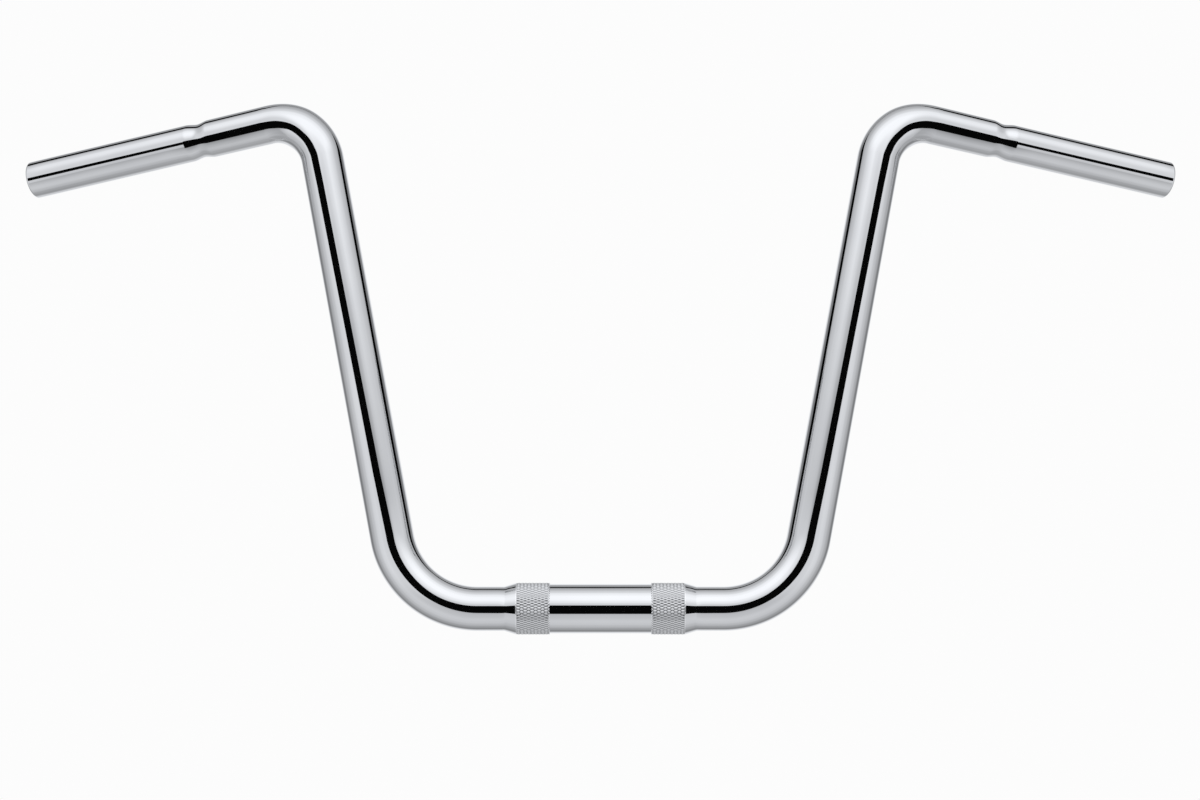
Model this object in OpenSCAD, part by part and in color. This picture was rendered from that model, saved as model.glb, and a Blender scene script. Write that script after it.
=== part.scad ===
// Ape hanger handlebar: one steel tube, thick at the clamp, bent four times and
// swaged down towards the two grips. The ends are open.
// Millimetres. The origin is the middle of the clamp zone. +X runs along the
// clamp zone to the left grip of the rider, +Y is rearwards to the rider and
// +Z is up. The risers lean back as they do on the motorcycle.

/* [Clamp zone] */
// Diameter of the thick middle of the tube
clamp_d = 31.75; // [29:0.05:38]
// Diameter over the two knurled bands
band_d = 33.2; // [32:0.1:40]
// Length of each knurled band
band_w = 22; // [10:0.5:28]
// Distance between the middles of the two bands
band_pitch = 87; // [70:0.5:94]
// Bevel round the edges of a band
band_bevel = 0.4; // [0.1:0.1:0.7]
// Length of the cone from a band out to the riser tube
cone_l = 7.5; // [3:0.5:12]

/* [Tube] */
// Diameter of the risers and the lower bends
tube_d = 28.6; // [25.4:0.1:31.75]
// Wall thickness
wall = 3.05; // [1.6:0.05:4.5]

/* [Risers] */
// Width between the two points where the riser axes cross the clamp axis
base_w = 252; // [220:1:320]
// Length of a riser axis, from the clamp axis to the grip axis
riser_l = 343; // [180:1:460]
// Angle by which each riser spreads outwards
splay = 11.3; // [0:0.1:20]
// Angle by which the risers lean back
lean = 13; // [0:0.5:30]
// Radius of the lower bends, to the middle of the tube
lower_bend_r = 57.15; // [45:0.05:60]

/* [Grips] */
// Angle by which the grips sweep back
pullback = 14; // [0:0.5:35]
// Angle by which the grips drop towards their ends
droop = 11; // [0:0.5:20]
// Radius of the upper bends, to the middle of the tube
upper_bend_r = 35; // [30:0.5:60]
// Part of the upper bend that is passed before the tube gets thinner
swage_start = 0.5; // [0.2:0.05:0.7]
// Diameter just after the upper bend
shank_d = 26.2; // [25.5:0.1:28]
// Diameter where the shank meets the neck
shoulder_d = 25.8; // [25.4:0.1:27]
// Length of the shank, from the upper bend to the neck
shank_l = 42; // [15:1:90]
// Smallest diameter of the neck
neck_d = 23.1; // [21:0.1:25]
// Length of the neck
neck_l = 17; // [10:0.5:30]
// Diameter of the grips
grip_d = 25.4; // [22.2:0.1:25.4]
// Length of a grip, from the neck to the end of the tube
grip_l = 119; // [90:1:180]
// Radius round the outer edge of each open end
rim_r = 1.5; // [0.5:0.1:1.5]
// Bevel round the inner edge of each open end
bore_bevel = 0.5; // [0.1:0.1:0.9]

/* [Hidden] */
$fn = 96;

// Fineness of the upper bends
bend_sides = 36;
bend_rings = 9;
// Steps along each flank of the neck and round the rim
neck_steps = 7;
rim_steps = 5;
// How far the bore of a straight runs past it, and the angle for a bend
overshoot = 5;
bore_turn = 2;
// Each straight runs this far into the bend it meets, inside a bend that is a
// hair thicker, so the pieces join without touching skin to skin
overlap = 0.5;
hair = 0.05;

// Directions of the clamp axis, a riser and a grip
clamp_dir = [1, 0, 0];
riser_dir = [sin(splay), cos(splay) * sin(lean), cos(splay) * cos(lean)];
grip_dir = [cos(droop) * cos(pullback), cos(droop) * sin(pullback), -sin(droop)];

// Angle that each bend turns through, and its length along either axis
lower_turn = acos(clamp_dir * riser_dir);
upper_turn = acos(riser_dir * grip_dir);
lower_cut = lower_bend_r * tan(lower_turn / 2);
upper_cut = upper_bend_r * tan(upper_turn / 2);

// Points where the axes cross
lower_corner = [base_w / 2, 0, 0];
upper_corner = lower_corner + riser_l * riser_dir;

// Points along the right half where one length ends and the next starts
lower_bend_start = lower_corner - lower_cut * clamp_dir;
riser_start = lower_corner + lower_cut * riser_dir;
upper_bend_start = upper_corner - upper_cut * riser_dir;
shank_start = upper_corner + upper_cut * grip_dir;

// Places along the clamp axis
band_in = (band_pitch - band_w) / 2;
band_out = (band_pitch + band_w) / 2;
cone_end = band_out + cone_l;
middle_end = lower_bend_start.x;

// Places along a grip axis, from the end of the upper bend
neck_start = shank_l;
neck_mid = neck_start + neck_l / 2;
neck_end = neck_start + neck_l;
grip_end = neck_end + grip_l;

function unit(v) = v / norm(v);

// An easy S-curve from 0 to 1
function ease(t) = t <= 0 ? 0 : t >= 1 ? 1 : t * t * (3 - 2 * t);

// Points [radius, place] of an S-curve from one radius and place to another
function blend(r1, z1, r2, z2, steps) =
    [for (i = [0 : steps]) let (t = i / steps) [r1 + (r2 - r1) * ease(t), z1 + (z2 - z1) * t]];

// Puts a shape's X and Z axes along the given directions, at a point
module frame_at(point, x_dir, z_dir) {
    y_dir = cross(z_dir, x_dir);
    multmatrix([
        [x_dir.x, y_dir.x, z_dir.x, point.x],
        [x_dir.y, y_dir.y, z_dir.y, point.y],
        [x_dir.z, y_dir.z, z_dir.z, point.z]
    ]) children();
}

// Puts a bend, drawn round the origin from +X, where two directions meet
module bend_at(start, from_dir, to_dir, bend_r) {
    inward = unit(to_dir - (to_dir * from_dir) * from_dir);
    frame_at(start + bend_r * inward, -inward, cross(-inward, from_dir)) children();
}

// Puts a shape that runs up +Z along the straight from a point
module along(start, dir) {
    side = unit(cross([0, 1, 0], dir));
    frame_at(start, side, dir) children();
}

module both_sides() {
    children();
    mirror([1, 0, 0]) children();
}

// The middle of the bar, with the clamp bands and the cones beside them
module middle() {
    half = [
        [clamp_d / 2, band_in],
        [band_d / 2 - band_bevel, band_in],
        [band_d / 2, band_in + band_bevel],
        [band_d / 2, band_out],
        [tube_d / 2, cone_end],
        [tube_d / 2, middle_end + overlap],
        [tube_d / 2 - wall, middle_end + overlap],
        [tube_d / 2 - wall, cone_end],
        [clamp_d / 2 - wall, band_out]
    ];
    other_half = [for (i = [len(half) - 1 : -1 : 0]) [half[i].x, -half[i].y]];
    rotate([0, 90, 0]) rotate_extrude() polygon(concat(half, other_half));
}

// A bend of the plain tube round the origin, with a wall a hair thicker
module plain_bend(bend_r, turn) {
    difference() {
        rotate_extrude(angle = turn)
            translate([bend_r, 0]) circle(r = tube_d / 2 + hair);
        rotate(-bore_turn) rotate_extrude(angle = turn + 2 * bore_turn)
            translate([bend_r, 0]) circle(r = tube_d / 2 - wall - hair);
    }
}

module lower_bend() {
    bend_at(lower_bend_start, clamp_dir, riser_dir, lower_bend_r)
        plain_bend(lower_bend_r, lower_turn);
}

module riser() {
    length = norm(upper_bend_start - riser_start) + 2 * overlap;
    along(riser_start - overlap * riser_dir, riser_dir) difference() {
        cylinder(d = tube_d, h = length);
        translate([0, 0, -overshoot]) cylinder(r = tube_d / 2 - wall, h = length + 2 * overshoot);
    }
}

// The upper bend: a plain bend first, then rings that get smaller on their way
// round. Their wall stands outside the walls of the round tubes that they meet.
module upper_bend() {
    function swaged_r(t) = tube_d / 2 + (shank_d - tube_d) / 2 * ease(t);
    function ring(t, r) = [
        for (k = [0 : bend_sides - 1])
            let (
                a = (k + 0.5) * 360 / bend_sides,
                out = upper_bend_r + r * cos(a),
                turn = upper_turn * (swage_start + (1 - swage_start) * t)
            )
            [out * cos(turn), out * sin(turn), r * sin(a)]
    ];
    steps = [for (i = [0 : bend_rings]) i / bend_rings];
    outer = [for (t = steps) each ring(t, (swaged_r(t) + 2 * hair) / cos(180 / bend_sides))];
    inner = [for (t = steps) each ring(t, swaged_r(t) - wall - 2 * hair)];
    faces = [
        for (k = [0 : bend_sides - 1])
            let (next = (k + 1) % bend_sides, m = len(outer), last = bend_rings * bend_sides)
            each concat(
                [for (i = [0 : bend_rings - 1]) let (a = i * bend_sides, b = a + bend_sides)
                    each [
                        [a + k, a + next, b + next, b + k],
                        [m + a + k, m + b + k, m + b + next, m + a + next]
                    ]],
                [[k, m + k, m + next, next], [last + k, last + next, m + last + next, m + last + k]]
            )
    ];
    bend_at(upper_bend_start, riser_dir, grip_dir, upper_bend_r) {
        plain_bend(upper_bend_r, swage_start * upper_turn);
        polyhedron(points = concat(outer, inner), faces = faces);
    }
}

// The shank, the neck and the grip, turned round the grip axis
module grip() {
    rim = [
        for (i = [0 : rim_steps])
            let (a = 90 * i / rim_steps)
            [grip_d / 2 - rim_r * (1 - cos(a)), grip_end - rim_r * (1 - sin(a))]
    ];
    outside = concat(
        [[shank_d / 2, -overlap]],
        blend(shoulder_d / 2, neck_start, neck_d / 2, neck_mid, neck_steps),
        blend(neck_d / 2, neck_mid, grip_d / 2, neck_end, neck_steps)
    );
    inside = [for (i = [len(outside) - 1 : -1 : 0]) outside[i] - [wall, 0]];
    mouth = [
        [grip_d / 2 - wall + bore_bevel, grip_end],
        [grip_d / 2 - wall, grip_end - bore_bevel]
    ];
    along(shank_start, grip_dir) rotate_extrude() polygon(concat(outside, rim, mouth, inside));
}

module handlebar() {
    color("silver") {
        middle();
        both_sides() {
            lower_bend();
            riser();
            upper_bend();
            grip();
        }
    }
}

handlebar();
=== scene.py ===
"""Looks for the ape hanger handlebar: one polished chrome tube with two knurled clamp bands."""

import math

import bpy
import numpy as np
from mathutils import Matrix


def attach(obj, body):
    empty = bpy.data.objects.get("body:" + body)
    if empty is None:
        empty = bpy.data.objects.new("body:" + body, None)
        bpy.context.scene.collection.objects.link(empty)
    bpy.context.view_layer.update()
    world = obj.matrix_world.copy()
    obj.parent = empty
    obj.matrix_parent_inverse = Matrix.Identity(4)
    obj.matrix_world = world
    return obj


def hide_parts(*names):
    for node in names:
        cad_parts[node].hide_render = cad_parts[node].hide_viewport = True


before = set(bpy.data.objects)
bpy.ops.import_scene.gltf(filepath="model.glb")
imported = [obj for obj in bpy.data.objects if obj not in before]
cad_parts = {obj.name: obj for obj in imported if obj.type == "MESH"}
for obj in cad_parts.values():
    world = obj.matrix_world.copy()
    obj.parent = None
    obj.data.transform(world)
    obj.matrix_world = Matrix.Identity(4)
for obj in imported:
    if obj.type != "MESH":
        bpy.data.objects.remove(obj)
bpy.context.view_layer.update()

# Sizes in millimetres and angles in degrees, the same as in the CAD source
CLAMP_D, BAND_D, BAND_W, BAND_PITCH, CONE_L = 31.75, 33.2, 22.0, 87.0, 7.5
TUBE_D, WALL = 28.6, 3.05
BASE_W, RISER_L, SPLAY, LEAN, LOWER_BEND_R = 252.0, 343.0, 11.3, 13.0, 57.15
PULLBACK, DROOP, UPPER_BEND_R, SWAGE_START = 14.0, 11.0, 35.0, 0.5
SHANK_D, SHOULDER_D, SHANK_L = 26.2, 25.8, 42.0
NECK_D, NECK_L, GRIP_D, GRIP_L = 23.1, 17.0, 25.4, 119.0
RIM_R, BORE_BEVEL = 1.5, 0.5
MM = 0.001

# Fineness of the bar's skin: points round a ring, and steps along each length
SIDES = 120
CLAMP_RINGS = 12
CONE_STEPS = 8
BEND_STEPS = 72
BORE_BEND_STEPS = 16
RISER_STEPS = 25
SHANK_STEPS = 10
NECK_STEPS = 32
GRIP_STEPS = 15
RIM_STEPS = 10

# Under a band's outer edge the skin rises over this length. The cone is followed by
# a ring this far on.
BAND_RISE = 0.6
CONE_FOOT = 4

# Where the bore is straight again after the neck, and its last ring before the mouth
BORE_AFTER_NECK = 2
BORE_BEFORE_MOUTH = 20

# Knurl: ridge lines round the band, the length of a diamond and the depth of its pit
KNURL_LINES = 58
KNURL_LEN = 4.48
KNURL_DEPTH = 0.38
KNURL_BLUNTNESS = 0.5
KNURL_BEVEL = 0.4
# The pits get shallow over this length by the band's edges
KNURL_FADE = 0.8
# How far the band reaches into the tube, and how near its outer edge the pits end
KNURL_SUNK = 0.4
KNURL_LAST = 0.02
KNURL_COLS = KNURL_LINES * 12
KNURL_ROWS = 84

# Angles over which an edge is drawn sharp
BAR_SHARP, KNURL_SHARP, FLAG_SHARP = 38, 50, 30


def sin(a):
    return math.sin(math.radians(a))


def cos(a):
    return math.cos(math.radians(a))


CLAMP_DIR = np.array([1.0, 0.0, 0.0])
RISER_DIR = np.array([sin(SPLAY), cos(SPLAY) * sin(LEAN), cos(SPLAY) * cos(LEAN)])
GRIP_DIR = np.array([cos(DROOP) * cos(PULLBACK), cos(DROOP) * sin(PULLBACK), -sin(DROOP)])

# Angle that each bend turns through, and its length along either axis
LOWER_TURN = math.acos(float(CLAMP_DIR @ RISER_DIR))
UPPER_TURN = math.acos(float(RISER_DIR @ GRIP_DIR))
LOWER_CUT = LOWER_BEND_R * math.tan(LOWER_TURN / 2)
UPPER_CUT = UPPER_BEND_R * math.tan(UPPER_TURN / 2)

# Points where the axes cross, and where the shank starts
LOWER_CORNER = np.array([BASE_W / 2, 0.0, 0.0])
UPPER_CORNER = LOWER_CORNER + RISER_L * RISER_DIR
SHANK_START = UPPER_CORNER + UPPER_CUT * GRIP_DIR

# Places along the clamp axis from the middle, and along a grip axis from SHANK_START
BAND_IN = (BAND_PITCH - BAND_W) / 2
BAND_OUT = BAND_IN + BAND_W
CONE_END = BAND_OUT + CONE_L
NECK_END = SHANK_L + NECK_L
TIP = NECK_END + GRIP_L


def ease(t):
    """An S-curve from 0 to 1."""
    t = min(max(t, 0.0), 1.0)
    return t * t * (3 - 2 * t)


def steps_to_one(count):
    """Even steps up to 1, without the 0."""
    return [i / count for i in range(1, count + 1)]


# The path of the tube
def bend_points(corner, d_in, d_out, radius, turn, cut, steps):
    """Points and directions round a bend, with the part of the bend that is passed."""
    inward = d_out - (d_out @ d_in) * d_in
    inward /= np.linalg.norm(inward)
    centre = corner - cut * d_in + radius * inward
    rows = []
    for i in range(steps + 1):
        a = turn * i / steps
        point = centre - radius * math.cos(a) * inward + radius * math.sin(a) * d_in
        rows.append((point, math.cos(a) * d_in + math.sin(a) * inward, i / steps))
    return rows


def half_path(bend_steps):
    """Rings from the middle to the end on +X: (point, direction, outer radius)."""
    tube_r, clamp_r, band_r = TUBE_D / 2, CLAMP_D / 2, BAND_D / 2
    rings = []

    def on_clamp(x, r):
        rings.append((np.array([x, 0.0, 0.0]), CLAMP_DIR, r))

    def on_grip(u, r):
        rings.append((SHANK_START + u * GRIP_DIR, GRIP_DIR, r))

    for x in np.linspace(0, BAND_OUT - 2 * BAND_RISE, CLAMP_RINGS):
        on_clamp(x, clamp_r)
    on_clamp(BAND_OUT - BAND_RISE, clamp_r)
    on_clamp(BAND_OUT, band_r)
    for t in steps_to_one(CONE_STEPS):
        on_clamp(BAND_OUT + CONE_L * t, band_r + (tube_r - band_r) * t)
    on_clamp(CONE_END + CONE_FOOT, tube_r)

    lower = bend_points(
        LOWER_CORNER, CLAMP_DIR, RISER_DIR, LOWER_BEND_R, LOWER_TURN, LOWER_CUT, bend_steps
    )
    upper = bend_points(
        UPPER_CORNER, RISER_DIR, GRIP_DIR, UPPER_BEND_R, UPPER_TURN, UPPER_CUT, bend_steps
    )
    for point, direction, _ in lower:
        rings.append((point, direction, tube_r))
    start, end = lower[-1][0], upper[0][0]
    for t in steps_to_one(RISER_STEPS)[:-1]:
        rings.append((start + (end - start) * t, RISER_DIR, tube_r))
    for point, direction, t in upper:
        shrink = ease((t - SWAGE_START) / (1 - SWAGE_START))
        rings.append((point, direction, tube_r + (SHANK_D / 2 - tube_r) * shrink))

    for t in steps_to_one(SHANK_STEPS):
        on_grip(SHANK_L * t, (SHANK_D + (SHOULDER_D - SHANK_D) * t) / 2)
    for t in steps_to_one(NECK_STEPS):
        if t < 0.5:
            d = SHOULDER_D + (NECK_D - SHOULDER_D) * ease(2 * t)
        else:
            d = NECK_D + (GRIP_D - NECK_D) * ease(2 * t - 1)
        on_grip(SHANK_L + NECK_L * t, d / 2)
    for t in steps_to_one(GRIP_STEPS):
        on_grip(NECK_END + (GRIP_L - RIM_R) * t, GRIP_D / 2)
    for t in steps_to_one(RIM_STEPS):
        a = 90 * t
        on_grip(TIP - RIM_R * (1 - sin(a)), GRIP_D / 2 - RIM_R * (1 - cos(a)))
    return rings


def both_halves(half):
    """The rings of the whole bar, from its end on -X to its end on +X."""
    mirrored = [(p * [-1, 1, 1], d * [1, -1, -1], r) for p, d, r in reversed(half[1:])]
    return mirrored + half


def bore_rows():
    """Rings of the bore, from the mouth on -X to the mouth on +X."""
    before_grip = half_path(BORE_BEND_STEPS)[: -(GRIP_STEPS + RIM_STEPS)]
    rings = [(p, d, r - WALL) for p, d, r in before_grip]
    bore_r = GRIP_D / 2 - WALL
    grip_rings = (
        (NECK_END + BORE_AFTER_NECK, bore_r),
        (TIP - BORE_BEFORE_MOUTH, bore_r),
        (TIP - BORE_BEVEL, bore_r),
        (TIP, bore_r + BORE_BEVEL),
    )
    rings += [(SHANK_START + u * GRIP_DIR, GRIP_DIR, r) for u, r in grip_rings]
    return both_halves(rings)


# Meshes
def sweep(rows, sides):
    """Points of rings along a path, with no twist from one ring to the next."""
    out, side = [], None
    for p, d, r in rows:
        d = d / np.linalg.norm(d)
        if side is None:
            side = np.cross(d, [0.0, 0.0, 1.0])
        side = side - (side @ d) * d
        side /= np.linalg.norm(side)
        up = np.cross(d, side)
        a = np.arange(sides) * 2 * math.pi / sides
        out.append(p + r * (np.outer(np.cos(a), side) + np.outer(np.sin(a), up)))
    return np.concatenate(out)


def ring_faces(n_rings, sides, offset=0, flip=False, closed=False):
    """Quads from ring to ring, and where closed from the last ring to the first too."""
    i = np.arange(n_rings if closed else n_rings - 1)[:, None]
    here = i * sides
    there = (i + 1) % n_rings * sides
    k = np.arange(sides)[None, :]
    k2 = (k + 1) % sides
    quads = np.stack([here + k, here + k2, there + k2, there + k], axis=-1).reshape(-1, 4)
    if flip:
        quads = quads[:, ::-1]
    return (quads + offset).tolist()


def new_object(name, points_mm, faces, material, sharp_angle):
    """A smooth mesh object of one material, from points in millimetres."""
    mesh = bpy.data.meshes.new(name)
    mesh.from_pydata((np.asarray(points_mm) * MM).tolist(), [], faces)
    mesh.update()
    mesh.shade_smooth()
    mesh.set_sharp_from_angle(angle=math.radians(sharp_angle))
    mesh.materials.append(material)
    obj = bpy.data.objects.new(name, mesh)
    bpy.context.scene.collection.objects.link(obj)
    return obj


def set_point_values(obj, name, values):
    """Gives each point of a mesh a number that its material can read."""
    attribute = obj.data.attributes.new(name, "FLOAT", "POINT")
    attribute.data.foreach_set("value", np.asarray(values, dtype=np.float32))


# Materials
PLATE_TINTS = ((0.80, 0.81, 0.83, 1), (0.84, 0.85, 0.865, 1))
PLATE_ROUGHNESS = (0.012, 0.03)
KNURL_TINTS = ((0.93, 0.94, 0.96, 1), (0.96, 0.97, 0.985, 1))
KNURL_ROUGHNESS = (0.07, 0.12)
# Haze makes the plate rougher and its tint paler between these values of its noise
HAZE_SCALE, HAZE_DETAIL = 22.0, 4.0
HAZE_TO_ROUGHNESS = (0.35, 0.75)
HAZE_TO_TINT = (0.3, 0.7)
PEEL_SCALE, PEEL_DETAIL = 260.0, 2.0
PEEL_STRENGTH, PEEL_HEIGHT = 0.006, 0.0001
# Painted shade in the knurl's pits: they get darker from this depth on, up to this much of the
# dark colour
PIT_SHADE_COLOUR = (0.05, 0.053, 0.058, 1)
PIT_SHADE_START, PIT_SHADE_COVER = 0.45, 0.78

FLOOR_Z = -0.5
FLOOR_R = 2.2
FLOOR_FADE_START = 0.7
FLOOR_SIDES = 128
FLOOR_TINTS = ((0.90, 0.90, 0.905, 1), (0.94, 0.94, 0.945, 1))
FLOOR_ROUGHNESS = 0.7
CLOUD_SCALE, CLOUD_DETAIL = 1.5, 2.0
CLOUD_TO_TINT = (0.0, 1.0)


def new_material(name):
    """A new material with its nodes, its links and its main shader."""
    material = bpy.data.materials.new(name)
    material.use_nodes = True
    tree = material.node_tree
    return material, tree.nodes, tree.links, tree.nodes["Principled BSDF"]


def noise_of(nodes, links, coords, scale, detail):
    """A soft noise through the object's own space, from 0 to 1."""
    noise = nodes.new("ShaderNodeTexNoise")
    noise.inputs["Scale"].default_value = scale
    noise.inputs["Detail"].default_value = detail
    links.new(coords.outputs["Object"], noise.inputs["Vector"])
    return noise.outputs["Fac"]


def tint_of(nodes, links, noise, tints, positions):
    """A colour between two tints that follows a noise."""
    ramp = nodes.new("ShaderNodeValToRGB")
    for element, position, tint in zip(ramp.color_ramp.elements, positions, tints):
        element.position = position
        element.color = tint
    links.new(noise, ramp.inputs["Fac"])
    return ramp.outputs["Color"]


def chrome_material(name, tints, roughness, shade_pits=False):
    """Plated steel: a cool mirror with faint polishing haze and orange peel, and painted shade
    in the pits if asked.
    """
    material, nodes, links, bsdf = new_material(name)
    bsdf.inputs["Metallic"].default_value = 1.0
    coords = nodes.new("ShaderNodeTexCoord")

    haze = noise_of(nodes, links, coords, HAZE_SCALE, HAZE_DETAIL)
    rough = nodes.new("ShaderNodeMapRange")
    rough.inputs["From Min"].default_value = HAZE_TO_ROUGHNESS[0]
    rough.inputs["From Max"].default_value = HAZE_TO_ROUGHNESS[1]
    rough.inputs["To Min"].default_value = roughness[0]
    rough.inputs["To Max"].default_value = roughness[1]
    links.new(haze, rough.inputs["Value"])
    links.new(rough.outputs["Result"], bsdf.inputs["Roughness"])

    colour = tint_of(nodes, links, haze, tints, HAZE_TO_TINT)
    # Painted shade: the deeper a point lies in a pit, the darker its colour, as if shade fell
    # there
    if shade_pits:
        depth = nodes.new("ShaderNodeAttribute")
        depth.attribute_name = "pit"
        pit_shade_amount = nodes.new("ShaderNodeMapRange")
        pit_shade_amount.inputs["From Min"].default_value = PIT_SHADE_START
        pit_shade_amount.inputs["From Max"].default_value = 1.0
        pit_shade_amount.inputs["To Max"].default_value = PIT_SHADE_COVER
        links.new(depth.outputs["Fac"], pit_shade_amount.inputs["Value"])
        pit_shade = nodes.new("ShaderNodeMix")
        pit_shade.data_type = "RGBA"
        pit_shade.inputs["B"].default_value = PIT_SHADE_COLOUR
        links.new(pit_shade_amount.outputs["Result"], pit_shade.inputs["Factor"])
        links.new(colour, pit_shade.inputs["A"])
        colour = pit_shade.outputs["Result"]
    links.new(colour, bsdf.inputs["Base Color"])

    peel = noise_of(nodes, links, coords, PEEL_SCALE, PEEL_DETAIL)
    bump = nodes.new("ShaderNodeBump")
    bump.inputs["Strength"].default_value = PEEL_STRENGTH
    bump.inputs["Distance"].default_value = PEEL_HEIGHT
    links.new(peel, bump.inputs["Height"])
    links.new(bump.outputs["Normal"], bsdf.inputs["Normal"])
    return material


def floor_material():
    """Pale matt floor that fades out before its rim, with a faint unevenness."""
    material, nodes, links, bsdf = new_material("pale_floor")
    bsdf.inputs["Roughness"].default_value = FLOOR_ROUGHNESS
    coords = nodes.new("ShaderNodeTexCoord")
    cloud = noise_of(nodes, links, coords, CLOUD_SCALE, CLOUD_DETAIL)
    colour = tint_of(nodes, links, cloud, FLOOR_TINTS, CLOUD_TO_TINT)
    links.new(colour, bsdf.inputs["Base Color"])

    away = nodes.new("ShaderNodeVectorMath")
    away.operation = "LENGTH"
    links.new(coords.outputs["Object"], away.inputs[0])
    fade = nodes.new("ShaderNodeMapRange")
    fade.interpolation_type = "SMOOTHSTEP"
    fade.inputs["From Min"].default_value = FLOOR_FADE_START
    fade.inputs["From Max"].default_value = FLOOR_R
    links.new(away.outputs["Value"], fade.inputs["Value"])
    clear = nodes.new("ShaderNodeBsdfTransparent")
    choose = nodes.new("ShaderNodeMixShader")
    links.new(fade.outputs["Result"], choose.inputs["Fac"])
    links.new(bsdf.outputs[0], choose.inputs[1])
    links.new(clear.outputs[0], choose.inputs[2])
    links.new(choose.outputs[0], nodes["Material Output"].inputs["Surface"])
    return material


chrome = chrome_material("chrome_plate", PLATE_TINTS, PLATE_ROUGHNESS)
# The knurl's chrome, with painted shade in its pits
knurl_chrome_and_pit_shade = chrome_material("chrome_knurl_pit_shade", KNURL_TINTS, KNURL_ROUGHNESS, shade_pits=True)


# The bar
def build_bar():
    """The outside and the bore of the tube, joined by a flat ring at each end."""
    outer, bore = both_halves(half_path(BEND_STEPS)), bore_rows()
    first_bore = len(outer) * SIDES
    last_outer = first_bore - SIDES
    last_bore = first_bore + (len(bore) - 1) * SIDES
    faces = ring_faces(len(outer), SIDES)
    faces += ring_faces(len(bore), SIDES, offset=first_bore, flip=True)
    for k in range(SIDES):
        k2 = (k + 1) % SIDES
        faces.append([k2, k, first_bore + k, first_bore + k2])
        faces.append([last_outer + k, last_outer + k2, last_bore + k2, last_bore + k])
    points = np.concatenate([sweep(outer, SIDES), sweep(bore, SIDES)])
    return new_object("bar", points, faces, chrome, BAR_SHARP)


# The knurled bands
def groove(phase):
    """0 on a groove line, 1 in the middle between two lines."""
    return 0.5 - 0.5 * np.cos(2 * math.pi * phase)


def knurl_band(name, side):
    """A closed sleeve round the clamp zone, with diamonds between crossing grooves."""
    inner_r, outer_r = CLAMP_D / 2 - KNURL_SUNK, BAND_D / 2
    a = np.arange(KNURL_COLS) * 2 * math.pi / KNURL_COLS
    turn = KNURL_LINES * a / (2 * math.pi)
    rings, pits = [], []

    def ring(x, r, pit):
        r = np.broadcast_to(r, a.shape)
        rings.append(np.stack([np.full_like(a, side * x), r * np.cos(a), r * np.sin(a)], axis=1))
        pits.append(np.broadcast_to(pit, a.shape))

    ring(BAND_IN, inner_r, 0.0)
    ring(BAND_IN, outer_r - KNURL_BEVEL, 0.0)
    for x in np.linspace(BAND_IN + KNURL_BEVEL, BAND_OUT - KNURL_LAST, KNURL_ROWS):
        z = (x - BAND_IN) / KNURL_LEN
        top = (groove(turn + z) * groove(turn - z)) ** KNURL_BLUNTNESS
        fade = min(1.0, (x - BAND_IN) / KNURL_FADE, (BAND_OUT - x) / KNURL_FADE)
        pit = (1 - top) * fade
        ring(x, outer_r - KNURL_DEPTH * pit, pit)
    ring(BAND_OUT, outer_r, 0.0)
    ring(BAND_OUT, inner_r, 0.0)
    faces = ring_faces(len(rings), KNURL_COLS, flip=side < 0, closed=True)
    band = new_object(name, np.concatenate(rings), faces, knurl_chrome_and_pit_shade, KNURL_SHARP)
    # The pit depth also sets how much painted shade each point gets
    set_point_values(band, "pit", np.concatenate(pits))
    return band


bar = build_bar()
knurls = [knurl_band("knurl_left", 1), knurl_band("knurl_right", -1)]

for piece in [bar, *knurls]:
    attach(piece, "root")
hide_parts("handlebar")


# Floor
def disc(name, radius, z, material):
    """A round floor, in metres."""
    mesh = bpy.data.meshes.new(name)
    a = np.arange(FLOOR_SIDES) * 2 * math.pi / FLOOR_SIDES
    points = np.stack([radius * np.cos(a), radius * np.sin(a), np.full_like(a, z)], axis=1)
    mesh.from_pydata(points.tolist(), [], [list(range(FLOOR_SIDES))])
    mesh.materials.append(material)
    obj = bpy.data.objects.new(name, mesh)
    bpy.context.scene.collection.objects.link(obj)
    return obj


floor = disc("floor", FLOOR_R, FLOOR_Z, floor_material())
floor.visible_glossy = False

# Brightness of the studio at so many degrees away from the front, and how much
# stronger its green and blue are than its red
COOL = (1.01, 1.032)
ABOVE_TONES = (
    (0, 0.62), (24, 0.74), (36, 0.98), (49, 1.13), (62, 1.14), (76, 1.03), (90, 0.77),
    (106, 0.54), (120, 0.42), (134, 0.35), (144, 0.42), (154, 0.84), (170, 1.00),
)
SIDE_TONES = (
    (0, 0.60), (14, 0.62), (27, 0.71), (44, 0.75), (56, 0.80), (68, 0.77), (86, 0.62),
    (104, 0.48), (128, 0.22), (141, 0.30), (151, 0.78), (170, 0.90),
)
BELOW_TONES = (
    (0, 0.50), (20, 0.54), (32, 0.60), (58, 0.69), (72, 0.66), (87, 0.56), (105, 0.40),
    (122, 0.27), (131, 0.36), (140, 0.78), (170, 0.92),
)
# How far up or down a direction points where one set of tones gives way to the next
SIDE_TO_ABOVE = (0.50, 0.90)
BELOW_TO_SIDE = (-0.65, -0.15)
BACKDROP = (0.975, 0.975, 0.975, 1)
TINY = 0.001


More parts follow.
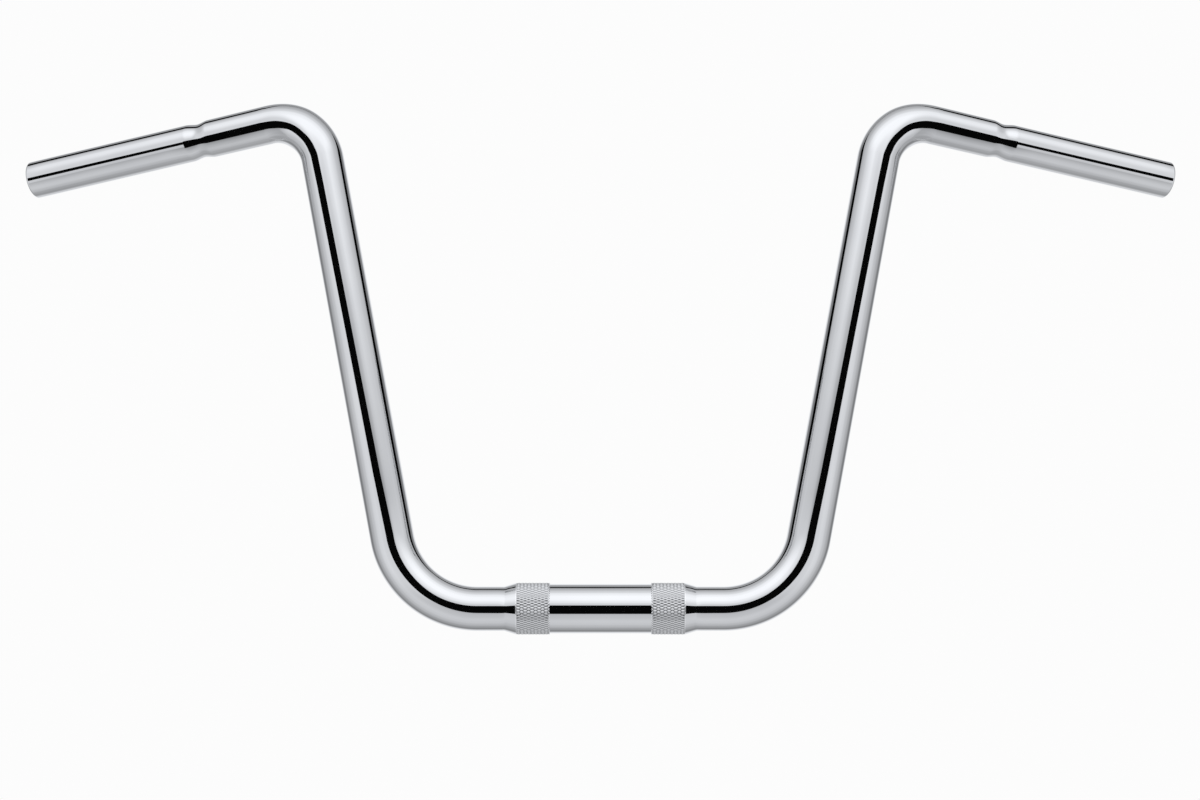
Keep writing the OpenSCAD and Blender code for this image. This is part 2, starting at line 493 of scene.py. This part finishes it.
def studio_world():
    """A white studio for the camera, with softer tones that only reflections see."""
    world = bpy.data.worlds.new("studio")
    bpy.context.scene.world = world
    world.use_nodes = True
    tree = world.node_tree
    nodes, links = tree.nodes, tree.links
    nodes.clear()

    def calculate(operation, *values):
        node = nodes.new("ShaderNodeMath")
        node.operation = operation
        for socket, value in zip(node.inputs, values):
            if isinstance(value, float):
                socket.default_value = value
            else:
                links.new(value, socket)
        return node.outputs[0]

    def soft_step(value, start, end):
        """0 at the start and 1 at the end, eased."""
        node = nodes.new("ShaderNodeMapRange")
        node.interpolation_type = "SMOOTHSTEP"
        node.inputs["From Min"].default_value = start
        node.inputs["From Max"].default_value = end
        links.new(value, node.inputs["Value"])
        return node.outputs["Result"]

    def ramp(value, tones):
        node = nodes.new("ShaderNodeValToRGB")
        node.color_ramp.interpolation = "EASE"
        while len(node.color_ramp.elements) < len(tones):
            node.color_ramp.elements.new(0.5)
        for element, (angle, tone) in zip(node.color_ramp.elements, tones):
            element.position = angle / 180
            element.color = (tone, tone * COOL[0], tone * COOL[1], 1)
        links.new(value, node.inputs["Fac"])
        return node.outputs["Color"]

    def mix(factor, a, b):
        node = nodes.new("ShaderNodeMix")
        node.data_type = "RGBA"
        links.new(factor, node.inputs["Factor"])
        links.new(a, node.inputs["A"])
        links.new(b, node.inputs["B"])
        return node.outputs["Result"]

    coords = nodes.new("ShaderNodeTexCoord")
    axis = nodes.new("ShaderNodeSeparateXYZ")
    links.new(coords.outputs["Generated"], axis.inputs[0])
    x, y, z = axis.outputs

    # The front is 0 and straight behind the bar is 1
    from_front = calculate("ARCCOSINE", calculate("MULTIPLY", y, -1.0))
    from_front = calculate("DIVIDE", from_front, math.pi)

    # How far a direction points up (1), sideways (0) or down (-1), seen from the front
    square = calculate("ADD", calculate("MULTIPLY", x, x), calculate("MULTIPLY", z, z))
    across = calculate("MAXIMUM", calculate("SQRT", square), TINY)
    upward = calculate("DIVIDE", z, across)

    above = ramp(from_front, ABOVE_TONES)
    beside = ramp(from_front, SIDE_TONES)
    below = ramp(from_front, BELOW_TONES)
    colour = mix(soft_step(upward, *SIDE_TO_ABOVE), beside, above)
    colour = mix(soft_step(upward, *BELOW_TO_SIDE), below, colour)

    studio = nodes.new("ShaderNodeBackground")
    links.new(colour, studio.inputs["Color"])
    backdrop = nodes.new("ShaderNodeBackground")
    backdrop.inputs["Color"].default_value = BACKDROP
    path = nodes.new("ShaderNodeLightPath")
    choose = nodes.new("ShaderNodeMixShader")
    links.new(path.outputs["Is Camera Ray"], choose.inputs["Fac"])
    links.new(studio.outputs[0], choose.inputs[1])
    links.new(backdrop.outputs[0], choose.inputs[2])
    out = nodes.new("ShaderNodeOutputWorld")
    links.new(choose.outputs[0], out.inputs["Surface"])


studio_world()

# A soft light from above, which reflections don't see
KEY_AT = (0.0, -0.4, 2.4)
KEY_W, KEY_D, KEY_POWER = 2.4, 1.6, 34.0
key_data = bpy.data.lights.new("soft_key", "AREA")
key_data.shape = "RECTANGLE"
key_data.size = KEY_W
key_data.size_y = KEY_D
key_data.energy = KEY_POWER
key = bpy.data.objects.new("soft_key", key_data)
key.location = KEY_AT
key.visible_glossy = False
bpy.context.scene.collection.objects.link(key)

CAMERA_AT = (0.0, -1.6, 0.1346)
BACK_EYE = (0.0, 1.6, 0.25)

# Flags, nets and a card close to the bar, which the camera doesn't see. Their images
# are the black line along the front of the tube, the fine dark line by its upper or
# inner edge, the greyer side of the risers and the lighter underside of the grips.
# One more gives the back its dark line, for an eye behind the bar.
# A row gives a place on the half on +X, as a length of the tube and the part of it
# that is passed, where the image starts and ends across the tube there, and how
# dense it is at its start and its end. Across the tube -1 and 1 are its two edges,
# and from the front -1 is the upper or inner one.
FRONT_FLAG = (
    ("clamp", 0.0, -0.13, 0.215, 1, 1), ("clamp", 0.410, -0.13, 0.215, 1, 1),
    ("clamp", 0.411, -0.13, 0.215, 0.6, 0.6), ("clamp", 0.688, -0.13, 0.21, 0.6, 0.6),
    ("clamp", 0.689, -0.12, 0.21, 1, 1), ("clamp", 1.0, -0.12, 0.20, 1, 1),
    ("lower_bend", 0.33, -0.10, 0.19, 1, 1), ("lower_bend", 0.6, -0.11, 0.20, 1, 1),
    ("lower_bend", 1.0, -0.08, 0.26, 1, 1), ("riser", 0.16, 0.01, 0.33, 1, 1),
    ("riser", 0.45, 0.08, 0.38, 1, 1), ("riser", 0.92, 0.17, 0.48, 1, 1),
    ("upper_bend", 0.08, 0.21, 0.53, 1, 1), ("upper_bend", 0.35, 0.14, 0.43, 1, 1),
    ("upper_bend", 0.6, -0.02, 0.28, 1, 1), ("upper_bend", 0.87, -0.16, 0.20, 1, 1),
    ("shank", 0.05, -0.21, 0.18, 1, 1), ("neck", 0.93, -0.19, 0.18, 1, 1),
    ("neck", 0.98, -0.17, -0.03, 1, 1), ("grip", 1.0, -0.19, -0.03, 1, 1),
)
EDGE_FLAG = (
    ("clamp", 0.0, -0.87, -0.82, 1, 1), ("clamp", 1.0, -0.87, -0.83, 1, 1),
    ("lower_bend", 0.5, -0.86, -0.835, 1, 1), ("lower_bend", 1.0, -0.85, -0.76, 1, 1),
    ("riser", 0.3, -0.84, -0.73, 1, 1), ("riser", 1.0, -0.85, -0.75, 1, 1),
    ("upper_bend", 0.2, -0.85, -0.84, 1, 1), ("upper_bend", 0.8, -0.90, -0.89, 1, 1),
    ("shank", 0.1, -0.90, -0.83, 1, 1), ("grip", 1.0, -0.91, -0.82, 1, 1),
)
RISER_NET = (
    ("lower_bend", 0.55, -0.50, -0.08, 0, 0), ("riser", 0.1, -0.62, 0.02, 0, 0.55),
    ("riser", 0.5, -0.60, 0.12, 0, 0.42), ("riser", 0.95, -0.55, 0.20, 0, 0.18),
    ("upper_bend", 0.3, -0.50, 0.20, 0, 0),
)
SHANK_NET = (
    ("upper_bend", 0.55, 0.10, 0.55, 0, 0), ("upper_bend", 0.9, 0.10, 0.55, 0.5, 0),
    ("shank", 0.5, 0.12, 0.55, 0.65, 0), ("neck", 0.5, 0.12, 0.55, 0.5, 0),
    ("grip", 0.1, 0.10, 0.45, 0.25, 0), ("grip", 1.0, 0.10, 0.40, 0.25, 0),
)
SHANK_CARD = (
    ("upper_bend", 0.6, 0.60, 0.97, 0, 0), ("shank", 0.0, 0.60, 0.97, 0, 0.9),
    ("neck", 0.5, 0.60, 0.97, 0, 0.8), ("grip", 1.0, 0.70, 0.97, 0, 0.7),
)
BACK_FLAG = (
    ("clamp", 0.0, -0.20, 0.10, 1, 1), ("lower_bend", 0.3, -0.20, 0.10, 1, 1),
    ("riser", 0.1, -0.15, 0.13, 1, 1), ("riser", 0.9, -0.15, 0.13, 1, 1),
    ("shank", 0.1, -0.20, 0.10, 1, 1), ("grip", 1.0, -0.20, 0.10, 1, 1),
)
# Millimetres from the tube to the flags and to the nets, and from station to station
FLAG_AWAY = 12.0
NET_AWAY = 16.0
FLAG_STEP = 2.0
BLACK_TONE = 0.002
CARD_TONE = 0.62
# The knurl scatters what it reflects, so two of the flags leave it out
KNURL_GAP = (BAND_IN, BAND_OUT)


def part_lengths():
    """Where each length of the half on +X starts and ends along the tube."""
    lengths = (
        ("clamp", BASE_W / 2 - LOWER_CUT),
        ("lower_bend", LOWER_BEND_R * LOWER_TURN),
        ("riser", RISER_L - LOWER_CUT - UPPER_CUT),
        ("upper_bend", UPPER_BEND_R * UPPER_TURN),
        ("shank", SHANK_L),
        ("neck", NECK_L),
        ("grip", GRIP_L),
    )
    spans, start = {}, 0.0
    for name, length in lengths:
        spans[name] = (start, start + length)
        start += length
    return spans


def mirrored_ray(eye, point, direction, radius, t):
    """Where a ray from the eye meets the tube at t across it, and where it goes on."""
    view = point - eye
    facing = view - (view @ direction) * direction
    facing /= np.linalg.norm(facing)
    side = np.cross(direction, facing)
    normal = -math.sqrt(1 - t * t) * facing - t * side
    hit = point + radius * normal
    ray = hit - eye
    ray /= np.linalg.norm(ray)
    return hit, ray - 2 * (ray @ normal) * normal


def flag_ribbon(rows, distance, gap, eye_at):
    """Stations along the half on +X, with the flag's two edges and densities there."""
    rings = half_path(BEND_STEPS)
    points = np.array([p for p, _, _ in rings])
    directions = np.array([d for _, d, _ in rings])
    along = np.concatenate([[0], np.cumsum(np.linalg.norm(np.diff(points, axis=0), axis=1))])
    spans = part_lengths()
    shank_start = spans["shank"][0]
    places = []
    for name, passed, *_ in rows:
        start, end = spans[name]
        places.append(start + passed * (end - start))
    stations = np.union1d(np.arange(places[0], places[-1], FLAG_STEP), places)
    if gap:
        stations = np.union1d(stations, gap)
    columns = list(zip(*rows))[2:]
    eye = np.array(eye_at) / MM
    edges, densities = [], []
    for s in stations:
        t_start, t_end, *cover = [float(np.interp(s, places, column)) for column in columns]
        point = np.array([np.interp(s, along, column) for column in points.T])
        direction = np.array([np.interp(s, along, column) for column in directions.T])
        direction /= np.linalg.norm(direction)
        if s < CONE_END:
            radius = CLAMP_D / 2
        elif s < shank_start:
            radius = TUBE_D / 2
        else:
            radius = GRIP_D / 2
        for t in (t_start, t_end):
            hit, ray = mirrored_ray(eye, point, direction, radius, t)
            edges.append(hit + ray * distance)
        densities += cover
    return stations, edges, densities


def flag_material(name, tone):
    """A card of one tone, as dense as the values of its points say."""
    material, nodes, links, _ = new_material(name)
    nodes.clear()
    cover = nodes.new("ShaderNodeAttribute")
    cover.attribute_name = "cover"
    clear = nodes.new("ShaderNodeBsdfTransparent")
    card = nodes.new("ShaderNodeEmission")
    card.inputs["Color"].default_value = (tone, tone * COOL[0], tone * COOL[1], 1)
    choose = nodes.new("ShaderNodeMixShader")
    links.new(cover.outputs["Fac"], choose.inputs["Fac"])
    links.new(clear.outputs[0], choose.inputs[1])
    links.new(card.outputs[0], choose.inputs[2])
    out = nodes.new("ShaderNodeOutputMaterial")
    links.new(choose.outputs[0], out.inputs["Surface"])
    return material


def flag_pair(name, rows, distance, material, gap=None, eye_at=CAMERA_AT):
    """A flag along the half on +X and its mirror image, with a gap along the bar."""
    stations, points, densities = flag_ribbon(rows, distance, gap, eye_at)
    faces = [
        [2 * i, 2 * i + 1, 2 * i + 3, 2 * i + 2]
        for i in range(len(stations) - 1)
        if not (gap and gap[0] <= stations[i] < gap[1])
    ]
    for side_name, side in (("left", 1), ("right", -1)):
        side_points = [p * [side, 1, 1] for p in points]
        flag = new_object(f"{name}_{side_name}", side_points, faces, material, FLAG_SHARP)
        set_point_values(flag, "cover", densities)
        flag.visible_camera = flag.visible_diffuse = flag.visible_shadow = False


black = flag_material("flag_black", BLACK_TONE)
white = flag_material("card_white", CARD_TONE)
flag_pair("front_flag", FRONT_FLAG, FLAG_AWAY, black)
flag_pair("edge_flag", EDGE_FLAG, FLAG_AWAY, black, gap=KNURL_GAP)
flag_pair("riser_net", RISER_NET, NET_AWAY, black)
flag_pair("shank_net", SHANK_NET, NET_AWAY, black)
flag_pair("shank_card", SHANK_CARD, NET_AWAY, white)
flag_pair("back_flag", BACK_FLAG, FLAG_AWAY, black, gap=KNURL_GAP, eye_at=BACK_EYE)

# Camera, with its focal length and its shift in pixels of the 1200 px wide frame
FOCAL_PX, FRAME_PX, SHIFT_PX, SENSOR = 2480.0, 1200.0, -0.5, 36.0
CAMERA_NEAR, CAMERA_FAR = 0.05, 50
camera_data = bpy.data.cameras.new("camera")
camera_data.sensor_width = SENSOR
camera_data.lens = FOCAL_PX / FRAME_PX * SENSOR
camera_data.shift_x = SHIFT_PX / FRAME_PX
camera_data.clip_start = CAMERA_NEAR
camera_data.clip_end = CAMERA_FAR
camera = bpy.data.objects.new("camera", camera_data)
camera.location = CAMERA_AT
camera.rotation_euler = (math.radians(90), 0, 0)
bpy.context.scene.collection.objects.link(camera)
bpy.context.scene.camera = camera
bpy.context.scene.view_settings.view_transform = "Standard"
